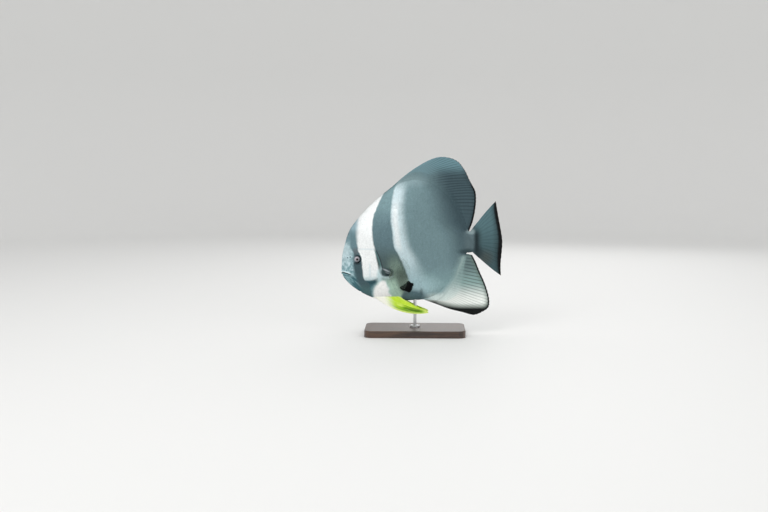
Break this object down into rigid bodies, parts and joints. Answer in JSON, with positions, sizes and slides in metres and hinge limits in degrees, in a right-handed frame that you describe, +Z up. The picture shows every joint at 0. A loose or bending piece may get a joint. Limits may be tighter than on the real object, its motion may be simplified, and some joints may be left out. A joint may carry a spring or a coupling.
{
  "type": "teira batfish model",
  "caption": "Life-size deep-bodied reef fish with tall dorsal and anal fins, held swimming on a flat base by a short rod.",
  "frame": {"origin": "on the floor, below the middle of the whole model's box", "axes": "+Z up, the fish looks along -X and its left side faces -Y, so Y runs through its thin side"},
  "size_m": [0.4185, 0.14, 0.4599],
  "materials": {
    "skin": "painted scaly skin, silvery blue-grey with white and dark bars, satin",
    "eye": "clear glossy eye with a silvery iris and a black pupil",
    "fin_grey": "satin blue-grey rayed fin with a black edge",
    "fin_pale": "satin pale rayed fin with a black edge",
    "fin_olive": "satin, thin olive-grey rayed fin",
    "fin_yellow": "satin bright yellow-green rayed fin",
    "wood": "dark stained, satin lacquer",
    "steel": "brushed rod"
  },
  "bodies": {
    "root": {"head": "skin", "gill_cover_left": "skin", "gill_cover_right": "skin", "trunk": "skin", "tail_stem": "skin", "eye_left": "eye", "eye_right": "eye", "dorsal_fin": "fin_grey", "caudal_fin": "fin_grey", "anal_fin": "fin_pale", "pectoral_fin_left": "fin_olive", "pectoral_fin_right": "fin_olive", "pelvic_fin_left": "fin_yellow", "pelvic_fin_right": "fin_yellow", "stand_base": "wood", "stand_rod": "steel"}
  },
  "joints": []
}
